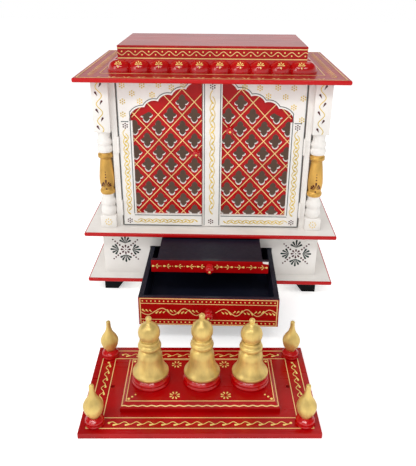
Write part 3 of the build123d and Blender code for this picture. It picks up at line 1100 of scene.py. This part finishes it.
def paint_door(side):
    """Lattice lines, painted highlights along the holes' lower edges, outlines, a painted gap shadow,
    braids and rosettes of one door.
    """
    brush = settings().temple_brush
    body = f"{side}_door"
    sign = -1 if side == "left" else 1
    arch, jali = f"{side}_door_arch", f"{side}_door_jali"
    stile, rail = f"{side}_door_hinge_stile", f"{side}_door_bottom_rail"
    boards = [arch, jali, stile, rail] + ([] if side == "left" else ["right_door_centre_stile"])
    jali_y, frame_y = low(jali).y, low(stile).y
    test = first_board(boards, jali_y)
    inner = 16.5 if side == "left" else 19
    bottom, top = low(stile).z / MM, high(arch).z / MM
    lines = []
    for line in lattice_lines(sign, inner, LATTICE_OUTER, LATTICE_BOTTOM, top):
        lines += [ribbon(run, brush.line) for run in runs(line, test)]
    painted(f"{side}_lattice_lines", body, "line", lines, facing_front(jali_y / MM))
    # painted highlight: pale strips along the lit lower sides of the holes
    painted(
        f"{side}_painted_edge_highlights", body, "white",
        painted_edge_highlights(jali, jali_y), facing_front(jali_y / MM), 0.2,
    )
    canvas = facing_front(frame_y / MM)
    rail_top = high(rail).z / MM
    cusp = cusp_line(arch, sign * ARCH_OUTLINE, sign * (inner + 1), 3.4)
    ink = [
        ribbon(cusp, brush.outline),
        ribbon([(sign * ARCH_OUTLINE, cusp[0][1]), (sign * ARCH_OUTLINE, rail_top + 0.5)], brush.outline),
        ribbon([(sign * ARCH_OUTLINE, rail_top - 2.5), (sign * inner, rail_top - 2.5)], brush.outline),
        # painted shadow: grey line along the door's outer edge, for the gap between door and jamb; the next
        # line runs along the door's bottom edge
        ribbon([(sign * DOOR_GAP_SHADOW, bottom + 0.8), (sign * DOOR_GAP_SHADOW, top - 0.8)], brush.outline),
        ribbon([(sign * DOOR_GAP_SHADOW, bottom + 0.9), (sign * inner, bottom + 0.9)], brush.outline),
        ribbon([(sign * 147, 331), (sign * 158, 331)], brush.outline),
        dot(sign * 147, 331, 1.1),
        dot(sign * 158, 331, 1.1),
    ]
    ochre = braid((sign * 152.3, 317), (sign * 152.3, 149), 14.7, 5.4, 1.3)
    ochre += braid((sign * 145, 141), (sign * (inner + 3), 141), 14.0, 4.2, 1.2)
    maroon = rosette(sign * 152, 323.5, 4.0, 1.3) + rosette(sign * 152.5, 141, 4.0, 1.3)
    spots = SPANDREL_LEFT if side == "left" else SPANDREL_RIGHT
    for u, v in spots:
        ochre += rosette(u, v, 4.0, 1.35)
    if side == "right":
        middle = middle_of("right_door_centre_stile").x / MM
        for shift in (-14, 14):
            ink.append(ribbon([(middle + shift, bottom + 2), (middle + shift, top - 1)], brush.outline))
        ochre += braid((middle, 387), (middle, 149), 20.8, 5.2, 1.3)
        maroon += rosette(middle, 393.5, 4.0, 1.3) + rosette(middle - 1.5, 141, 4.0, 1.3)
    painted(f"{side}_door_outlines_and_gap_shadow", body, "ink", ink, canvas)
    painted(f"{side}_door_ochre", body, "ochre", ochre, canvas)
    painted(f"{side}_door_rosettes", body, "maroon", maroon, canvas)


# Painted ornament of the posts and the plinth


def paint_post(side, centre, bottom, roof, vase):
    """Vine and drops on a post's head, rosette on its foot, flower on its vase."""
    face = facing_front(low(f"{side}_post").y / MM)
    x = centre.x / MM
    turned_high = roof - POST_HEAD
    top, end = roof - 1, turned_high + 1
    vine = [ribbon(wave((x - 1.6, top), (x - 1.6, end), 5.0, 29.6, 2.6), 1.4)]
    drops = []
    for i in range(6):
        z = top - 7.5 - 14.8 * i
        way = 1 if i % 2 == 0 else -1
        shift = -0.8 if way > 0 else -3.6
        drops.append(drop(x + shift, z - 3.5, 9, 3.6, 90 - way * 30))
    vine += rosette(x, bottom + 11.5, 5.8, 1.2, 8)
    painted(f"{side}_post_vine", "temple", "ochre", vine, face)
    painted(f"{side}_post_drops", "temple", "maroon", drops, face)
    tall = turned_high - bottom - POST_FOOT
    middle = bottom + POST_FOOT + tall * 0.36
    flower = [dot(0, 18.5 + 5.0 * i, 1.3 - 0.2 * i) for i in range(3)]
    flower.append(drop(0, 1.5, 12.5, 3.4, 90))
    for way in (-1, 1):
        for turn, length in ((30, 10.5), (54, 10), (76, 9)):
            a = math.radians(90 + way * turn)
            flower.append(drop(2.2 * math.cos(a), 2.2 * math.sin(a), length - 2, 2.8, 90 + way * turn))
    flower.append(dot(0, -4.5, 1.5))
    painted(
        f"{side}_post_flower", "temple", "maroon", flower,
        cast_front(vase, x, middle, low(f"{side}_post").y / MM - 10),
    )


def plinth_flower(x, z):
    """Maroon flower with dot rows and the leaf fans round it."""
    maroon = [dot(x, z, 1.3)]
    for i in range(8):
        t = math.tau * i / 8
        maroon.append(drop(x + 3.2 * math.cos(t), z + 3.2 * math.sin(t), 6.6, 3.7, math.degrees(t)))
    for su in (-1, 1):
        for sv in (-1, 1):
            for i in range(4):
                maroon.append(dot(x + su * (11 + 4.2 * i), z + sv * (9.2 + 3.8 * i), 1.9 - 0.12 * i))
    leaves = []
    for angle, reach in ((90, 13), (-90, 11), (0, 13), (180, 13)):
        t = math.radians(angle)
        leaves += fan(x + reach * math.cos(t), z + reach * math.sin(t), angle, 5, 58, 16.5, 3.9)
    return maroon, leaves


def build_plinth_paint():
    """Two flowers on the plinth's front boards."""
    face = facing_front(low("plinth_front_left").y / MM)
    for side, place in (("left", (-162.9, 83.7)), ("right", (164.8, 80.2))):
        maroon, leaves = plinth_flower(*place)
        painted(f"{side}_plinth_flower", "temple", "maroon", maroon, face)
        painted(f"{side}_plinth_leaves", "temple", "leaf", leaves, face)


# Painted ornament of the drawer and the tray


def build_drawer_paint():
    """Frame, dot rows, vine and drops on the drawer's front."""
    lowest, highest = (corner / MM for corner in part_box("drawer_front"))
    face = facing_front(lowest.y)
    x0, x1, z0, z1 = lowest.x, highest.x, lowest.z, highest.z
    middle = (z0 + z1) / 2
    line = bars(rectangle(x0 + 3, z0 + 1.6, x1 - 3, z1 - 1.6), 1.5)
    line += [ribbon([(x0 + 3, z), (x1 - 3, z)], 1.1) for z in (z1 - 11, z0 + 10.7)]
    count = int((x1 - x0 - 12) / 7)
    pitch = (x1 - x0 - 14) / count
    drops = [dot(x0 + 7 + pitch * i, z, 1.25) for z in (z1 - 6.4, z0 + 5.9) for i in range(count + 1)]
    left = [(3, -1), (16.6, -6.4), (39, 6.4), (57, -6.4), (75.4, 6.4), (93.5, -6.4), (105, -1)]
    right = [(127, -1), (142, 6.4), (161, -6.4), (178, 6.4), (196, -6.4), (214, 6.4), (227.5, 0)]
    for path, out in ((left, -1), (right, 1)):
        bends = [(x0 + u, middle + v) for u, v in path]
        line.append(ribbon([bends[0]] + smooth_points(bends), 1.2))
        for u, v in bends[1:-1]:
            way = -1 if v > middle else 1
            heading = way * (90 - out * 45)
            for i in range(3):
                place = u + out * (7.5 - 5.6 * i) - out * 2
                drops.append(drop(place, v + way * 4.8, 7.8 - 0.7 * i, 3.0 - 0.35 * i, heading))
    painted("drawer_front_lines", "drawer", "line", line, face)
    painted("drawer_front_drops", "drawer", "yellow", drops, face)


def build_tray_paint():
    """Sprigs, dots and a worn corner on the tray's strip."""
    lowest, highest = (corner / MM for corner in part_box("tray_strip"))
    face = facing_front(lowest.y)
    middle, level = (lowest.x + highest.x) / 2, (lowest.z + highest.z) / 2
    shapes = []
    for sign in (-1, 1):
        out = 180 if sign < 0 else 0
        for place in (16, 34, 54, 74.5, 94):
            u = middle + sign * place
            shapes.append(drop(u + sign * 0.6, level, 5.8, 3.6, out))
            shapes += fan(u, level, 180 - out, 3, 46, 7.4, 1.6)
        for place in (25, 44, 64.5, 84.5):
            shapes.append(dot(middle + sign * place, level, 0.8))
    painted("tray_strip_sprigs", "tray", "yellow", shapes, face)
    chip = [[
        (highest.x - 10.5, highest.z), (highest.x - 9.6, highest.z - 3.4), (highest.x - 5, highest.z - 4.4),
        (highest.x, highest.z - 4.9), (highest.x, highest.z),
    ]]
    painted("tray_strip_chip", "tray", "white", [chip], face)


# Painted ornament of the roof


def build_roof_paint():
    """Borders on the roof slab, vine on the block and sprigs on the front lobes."""
    lowest, highest = (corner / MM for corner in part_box("roof_slab"))
    top = facing_up(highest.z)
    block_low, block_high = (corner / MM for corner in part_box("roof_block"))
    moulding_low, moulding_high = (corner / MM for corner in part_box("roof_moulding"))
    line = bars(rectangle(lowest.x + 7, lowest.y + 7, highest.x - 7, highest.y - 7), 1.6)
    line += bars(
        rectangle(moulding_low.x - 9, moulding_low.y - 9, moulding_high.x + 9, moulding_high.y + 9), 1.3
    )
    for sign, edge in ((-1, lowest.x + 21), (1, highest.x - 21)):
        for i in range(23):
            y = lowest.y + 30 + 12.5 * i
            line.append(drop(edge - sign * 9, y, 9, 2.2, 0 if sign > 0 else 180))
            line.append(drop(edge - sign * 2, y + 6, 8, 2.2, 60 if sign > 0 else 120))
    for i in range(31):
        x = lowest.x + 46 + 12.5 * i
        line.append(drop(x, lowest.y + 20, 9, 2.2, -62 if i % 2 else -118))
    painted("roof_slab_lines", "temple", "line", line, top)

    for name, canvas, start, end in (
        ("front", facing_front(block_low.y), block_low.x, block_high.x),
        ("left", facing_side(block_low.x, -1), block_low.y, block_high.y),
        ("right", facing_side(block_high.x, 1), block_low.y, block_high.y),
    ):
        z0, z1 = block_low.z, block_high.z
        middle = (z0 + z1) / 2
        lines = [ribbon([(start, z), (end, z)], 1.6) for z in (z0 + 1.6, z1 - 1.9)]
        lines.append(ribbon(wave((start, middle), (end, middle), 3.4, 23.7, -3.57), 1.2))
        dots = []
        for i in range(-1, int((end - start) / 11.85)):
            bend = start + 19.4 + 11.85 * i
            if start + 2 < bend < end - 2:
                dots.append(dot(bend, middle + (2.6 if i % 2 else -2.6), 1.4))
        painted(f"roof_block_{name}_vine", "temple", "line", lines, canvas)
        painted(f"roof_block_{name}_dots", "temple", "yellow", dots, canvas)

    tree = tree_of(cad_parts["roof_moulding"])
    slope = math.sqrt(0.5)
    half = (moulding_high.x - moulding_low.x) / 2 - LOBE_RADIUS
    pitch = (2 * half - LOBE_CROWD) / (LOBE_COUNT - 1)
    level = (moulding_low.z + moulding_high.z) / 2
    away = 40 * slope
    right, up, inward = Vector((1, 0, 0)), Vector((0, slope, slope)), Vector((0, slope, -slope))
    for i in range(LOBE_COUNT):
        origin = Vector((i * pitch - half, moulding_low.y + 4 - away, level + 5 + away)) * MM
        canvas = cast(tree, origin, right, up, inward)
        sprig = fan(0, -1.5, 90, 5, 76, 8.2, 2.1) + [drop(0, -2.4, 4.6, 2.0, -90)]
        painted(f"roof_lobe_sprig_{i + 1}", "temple", "yellow", sprig, canvas)


# Painted ornament of the crown


def crown_vine(start, end):
    """Running vine between two points, with a fat comma under each of its bends."""
    du, dv = end[0] - start[0], end[1] - start[1]
    size = math.hypot(du, dv)
    count = max(2, round(size / 16.8))
    pitch = size / count
    heading = math.degrees(math.atan2(dv, du))
    made = [ribbon(wave(start, end, 2.3, pitch), 0.9), dot(*start, 1.9), dot(*end, 1.9)]
    for i in range(count):
        s, w = pitch * (i + 0.78), -2.6
        place = (start[0] + (du * s - dv * w) / size, start[1] + (dv * s + du * w) / size)
        made.append(drop(*place, 8, 3.1, heading + 190))
    return made


def build_crown_paint():
    """Lines and vines round the crown's plate and pad."""
    half_x, half_y = turned_half("crown_plate")
    plate = on_crown(high("crown_plate").z / MM)
    shapes = bars(rectangle(-half_x + 9.8, -half_y + 9.8, half_x - 9.8, half_y - 9.8), 1.2)
    shapes += bars(rectangle(-half_x + 30, -half_y + 30, half_x - 30, half_y - 30), 1.1)
    vines = []
    for sign in (-1, 1):
        vines += crown_vine((-half_x + 40, sign * (half_y - 20)), (half_x - 40, sign * (half_y - 20)))
        vines += crown_vine((sign * (half_x - 20), -half_y + 40), (sign * (half_x - 20), half_y - 40))
    painted("crown_plate_lines", "temple", "line", shapes, plate)
    painted("crown_plate_vines", "temple", "yellow", vines, plate)

    pad_x, pad_y = turned_half("crown_pad")
    pad = on_crown(high("crown_pad").z / MM)
    lines = bars(rectangle(-pad_x + 8, -pad_y + 8, pad_x - 8, pad_y - 8), 1.1)
    painted("crown_pad_lines", "temple", "line", lines, pad)
    spots = bell_spots()
    spacing = (spots["right"] - spots["left"]).length / 2 / MM
    flowers = []
    for sx in (-1, 1):
        for sy in (-1, 1):
            for i in range(8):
                t = math.tau * (i + 0.5) / 8
                u, v = sx * spacing / 2 + 2.4 * math.cos(t), sy * 35 + 2.4 * math.sin(t)
                flowers.append(drop(u, v, 5.4, 2.3, math.degrees(t)))
            for i in range(3):
                u, v = sx * (pad_x - 11.5 - 4.3 * i), sy * (pad_y - 12.5 - 4.4 * i)
                flowers.append(dot(u, v, 2.0 - 0.4 * i))
    painted("crown_pad_flowers", "temple", "yellow", flowers, pad)

    along, across = crown_axes()
    above = middle_of("crown_plate") + Vector((0, 0, 0.1))
    slope = cast(tree_of(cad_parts["crown_pad"]), above, along, across, Vector((0, 0, -1)))
    edge_x, edge_y = pad_x - 2.6, pad_y - 2.6
    rim = [ribbon(stepped((sx * edge_x, -edge_y), (sx * edge_x, edge_y), 4), 1.2) for sx in (-1, 1)]
    rim.append(ribbon(stepped((-edge_x, edge_y), (edge_x, edge_y), 4), 1.2))
    rim.append(ribbon(wave((-edge_x, -edge_y), (edge_x, -edge_y), 0.4, 13), 1.0))
    painted("crown_pad_rim", "temple", "line", rim, slope)


# Painted shade inside the shrine


def build_inside_shade():
    """Painted shade on the walls and the floor of the closed chamber: thin brown-grey sheets that glow a
    little.
    """
    half = -high("left_wall").x / MM
    back = low("back_wall").y / MM
    z0, z1 = high("middle_slab").z / MM, low("roof_slab").z / MM
    faces = {
        "back": (rectangle(-half, z0, half, z1), facing_front(back)),
        "floor": (rectangle(-half, 64, half, back), facing_up(z0)),
        "left": (rectangle(78, z0, back, z1), facing_side(-half, 1)),
        "right": (rectangle(78, z0, back, z1), facing_side(half, -1)),
    }
    for name, (shape, canvas) in faces.items():
        # thin brown-grey sheets of painted shade over the chamber's walls and floor
        painted(f"inside_{name}", "temple", "inside", [[shape]], canvas)


# Studio


def lit_world(world, stage):
    """White to the camera, even for diffuse light, dim overhead and bright low down in glossy paint."""
    world.use_nodes = True
    tree = world.node_tree
    plain = tree.nodes["Background"]
    plain.inputs["Color"].default_value = (1, 1, 1, 1)
    seen = tree.nodes.new("ShaderNodeBackground")
    seen.inputs["Color"].default_value = (1, 1, 1, 1)
    rays = tree.nodes.new("ShaderNodeLightPath")
    place = tree.nodes.new("ShaderNodeTexCoord")
    split = tree.nodes.new("ShaderNodeSeparateXYZ")
    tree.links.new(place.outputs["Generated"], split.inputs["Vector"])
    mirrored = tree.nodes.new("ShaderNodeMapRange")
    mirrored.inputs["From Min"].default_value = 0.22
    mirrored.inputs["From Max"].default_value = 0.46
    mirrored.inputs["To Min"].default_value = stage.mirrored_wall
    mirrored.inputs["To Max"].default_value = stage.mirrored_sky
    tree.links.new(split.outputs["Z"], mirrored.inputs["Value"])
    strength = tree.nodes.new("ShaderNodeMix")
    strength.inputs["A"].default_value = stage.sky
    tree.links.new(rays.outputs["Is Glossy Ray"], strength.inputs["Factor"])
    tree.links.new(mirrored.outputs["Result"], strength.inputs["B"])
    tree.links.new(strength.outputs["Result"], plain.inputs["Strength"])
    direct = maths(tree, "MAXIMUM", rays.outputs["Is Camera Ray"], rays.outputs["Is Transmission Ray"])
    mix = tree.nodes.new("ShaderNodeMixShader")
    tree.links.new(direct, mix.inputs["Fac"])
    tree.links.new(plain.outputs[0], mix.inputs[1])
    tree.links.new(seen.outputs[0], mix.inputs[2])
    tree.links.new(mix.outputs[0], tree.nodes["World Output"].inputs["Surface"])


def build_stage():
    """Pale floor, soft lights, plain surroundings and the camera."""
    scene = settings()
    stage = scene.temple_stage
    scene.view_settings.view_transform = "Standard"

    bm = bmesh.new()
    bmesh.ops.create_grid(bm, x_segments=1, y_segments=1, size=6)
    mesh = bpy.data.meshes.new("floor")
    bm.to_mesh(mesh)
    bm.free()
    floor = bpy.data.objects.new("floor", mesh)
    scene.collection.objects.link(floor)
    floor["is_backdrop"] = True
    material, tree, principled = shader("floor_paper")
    principled.inputs["Base Color"].default_value = (0.9, 0.9, 0.9, 1)
    principled.inputs["Roughness"].default_value = 0.9
    paths = tree.nodes.new("ShaderNodeLightPath")
    lit = tree.nodes.new("ShaderNodeEmission")
    lit.inputs["Color"].default_value = (1, 1, 1, 1)
    lit.inputs["Strength"].default_value = FLOOR_GLOW
    together = tree.nodes.new("ShaderNodeAddShader")
    chosen = tree.nodes.new("ShaderNodeMixShader")
    tree.links.new(principled.outputs[0], together.inputs[0])
    tree.links.new(lit.outputs[0], together.inputs[1])
    bright = maths(tree, "MAXIMUM", paths.outputs["Is Camera Ray"], paths.outputs["Is Diffuse Ray"])
    tree.links.new(bright, chosen.inputs["Fac"])
    tree.links.new(principled.outputs[0], chosen.inputs[1])
    tree.links.new(together.outputs[0], chosen.inputs[2])
    tree.links.new(chosen.outputs[0], tree.nodes["Material Output"].inputs["Surface"])
    mesh.materials.append(material)

    scene.world = bpy.data.worlds.new("plain_room")
    lit_world(scene.world, stage)

    lamps = {
        "key": ((-0.25, -1.25, 1.75), stage.key, 1.6, 0.22),
        "fill": ((-1.1, -0.9, 1.0), stage.fill, 0.6, 0.6),
        "back": ((0.2, 1.1, 1.7), stage.fill, 1.2, 1.2),
    }
    aim = Vector((0, -0.05, 0.2))
    for name, (spot, power, wide, deep) in lamps.items():
        light = bpy.data.lights.new(name, "AREA")
        light.shape = "RECTANGLE"
        light.energy = power
        light.size = wide
        light.size_y = deep
        lamp = bpy.data.objects.new(name, light)
        scene.collection.objects.link(lamp)
        lamp.location = spot
        lamp.rotation_euler = (aim - Vector(spot)).to_track_quat("-Z", "Y").to_euler()

    camera = bpy.data.cameras.new("camera")
    camera.lens = stage.lens
    camera.sensor_width = 36
    eye = bpy.data.objects.new("camera", camera)
    scene.collection.objects.link(eye)
    eye.matrix_world = (
        Matrix.Translation(stage.camera_place)
        @ Matrix.Rotation(stage.camera_turn, 4, "Z")
        @ Matrix.Rotation(math.radians(90) - stage.camera_down, 4, "X")
        @ Matrix.Rotation(stage.camera_roll, 4, "Z")
    )
    scene.camera = eye


def paint_nodes():
    """Give every CAD node its paint."""
    for name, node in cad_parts.items():
        material = MATERIALS[node_material(name)]
        node.data.materials.clear()
        node.data.materials.append(material)


# Operators


class TEMPLE_OT_paints(bpy.types.Operator):
    """Make the paints and give them to the boards"""

    bl_idname = "temple.paints"
    bl_label = "Paints"

    def execute(self, context):
        make_materials()
        paint_nodes()
        return {"FINISHED"}


class TEMPLE_OT_posts(bpy.types.Operator):
    """Turn and paint the two posts"""

    bl_idname = "temple.posts"
    bl_label = "Posts"

    def execute(self, context):
        build_posts()
        return {"FINISHED"}


class TEMPLE_OT_bells(bpy.types.Operator):
    """Turn the crown's bells and their discs"""

    bl_idname = "temple.bells"
    bl_label = "Bells"

    def execute(self, context):
        build_bells()
        return {"FINISHED"}


class TEMPLE_OT_finials(bpy.types.Operator):
    """Turn the crown's finials and their feet"""

    bl_idname = "temple.finials"
    bl_label = "Finials"

    def execute(self, context):
        build_finials()
        return {"FINISHED"}


class TEMPLE_OT_knobs(bpy.types.Operator):
    """Turn the knobs of doors, drawer and tray"""

    bl_idname = "temple.knobs"
    bl_label = "Knobs"

    def execute(self, context):
        build_knobs()
        return {"FINISHED"}


class TEMPLE_OT_doors(bpy.types.Operator):
    """Paint the ornament of both doors"""

    bl_idname = "temple.doors"
    bl_label = "Door ornament"

    def execute(self, context):
        paint_door("left")
        paint_door("right")
        return {"FINISHED"}


class TEMPLE_OT_plinth(bpy.types.Operator):
    """Paint the flowers of the plinth"""

    bl_idname = "temple.plinth"
    bl_label = "Plinth ornament"

    def execute(self, context):
        build_plinth_paint()
        return {"FINISHED"}


class TEMPLE_OT_drawer(bpy.types.Operator):
    """Paint the ornament of the drawer's front"""

    bl_idname = "temple.drawer"
    bl_label = "Drawer ornament"

    def execute(self, context):
        build_drawer_paint()
        return {"FINISHED"}


class TEMPLE_OT_tray(bpy.types.Operator):
    """Paint the ornament of the tray's strip"""

    bl_idname = "temple.tray"
    bl_label = "Tray ornament"

    def execute(self, context):
        build_tray_paint()
        return {"FINISHED"}


class TEMPLE_OT_roof(bpy.types.Operator):
    """Paint the ornament of the roof"""

    bl_idname = "temple.roof"
    bl_label = "Roof ornament"

    def execute(self, context):
        build_roof_paint()
        return {"FINISHED"}


class TEMPLE_OT_crown(bpy.types.Operator):
    """Paint the ornament of the crown"""

    bl_idname = "temple.crown"
    bl_label = "Crown ornament"

    def execute(self, context):
        build_crown_paint()
        return {"FINISHED"}


class TEMPLE_OT_inside(bpy.types.Operator):
    """Lay painted shade on the inside of the shrine"""

    bl_idname = "temple.inside"
    bl_label = "Inside"

    def execute(self, context):
        build_inside_shade()
        return {"FINISHED"}


class TEMPLE_OT_stage(bpy.types.Operator):
    """Set up the floor, the lights and the camera"""

    bl_idname = "temple.stage"
    bl_label = "Studio"

    def execute(self, context):
        build_stage()
        return {"FINISHED"}


OPERATORS = (
    TEMPLE_OT_paints,
    TEMPLE_OT_posts,
    TEMPLE_OT_bells,
    TEMPLE_OT_finials,
    TEMPLE_OT_knobs,
    TEMPLE_OT_doors,
    TEMPLE_OT_plinth,
    TEMPLE_OT_drawer,
    TEMPLE_OT_tray,
    TEMPLE_OT_roof,
    TEMPLE_OT_crown,
    TEMPLE_OT_inside,
    TEMPLE_OT_stage,
)
GROUPS = {"temple_colours": TempleColours, "temple_brush": TempleBrush, "temple_stage": TempleStage}


class TEMPLE_PT_panel(bpy.types.Panel):
    """Pieces of the temple, in the order in which they are built"""

    bl_label = "Painted home temple"
    bl_idname = "TEMPLE_PT_panel"
    bl_space_type = "VIEW_3D"
    bl_region_type = "UI"
    bl_category = "Temple"

    def draw(self, context):
        for operator in OPERATORS:
            self.layout.operator(operator.bl_idname)
        for name, group in GROUPS.items():
            box = self.layout.box()
            box.label(text=group.__doc__)
            for setting in group.__annotations__:
                box.prop(getattr(context.scene, name), setting)


def register():
    """Register the settings, the operators and the panel."""
    for name, group in GROUPS.items():
        bpy.utils.register_class(group)
        setattr(bpy.types.Scene, name, bpy.props.PointerProperty(type=group))
    for cls in (*OPERATORS, TEMPLE_PT_panel):
        bpy.utils.register_class(cls)


def unregister():
    """Take everything back that register added."""
    for cls in reversed((*OPERATORS, TEMPLE_PT_panel)):
        bpy.utils.unregister_class(cls)
    for name, group in GROUPS.items():
        delattr(bpy.types.Scene, name)
        bpy.utils.unregister_class(group)


def corners():
    """The whole object's box as plain lists."""
    return [list(corner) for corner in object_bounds()]


def main():
    """Register and build every piece in order."""
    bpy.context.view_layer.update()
    register()
    bpy.ops.temple.paints()
    bpy.ops.temple.posts()
    bpy.ops.temple.bells()
    bpy.ops.temple.finials()
    bpy.ops.temple.knobs()
    bpy.ops.temple.doors()
    bpy.ops.temple.plinth()
    bpy.ops.temple.drawer()
    bpy.ops.temple.tray()
    bpy.ops.temple.roof()
    bpy.ops.temple.crown()
    bpy.ops.temple.inside()
    bpy.ops.temple.stage()


if __name__ == "__main__":
    main()
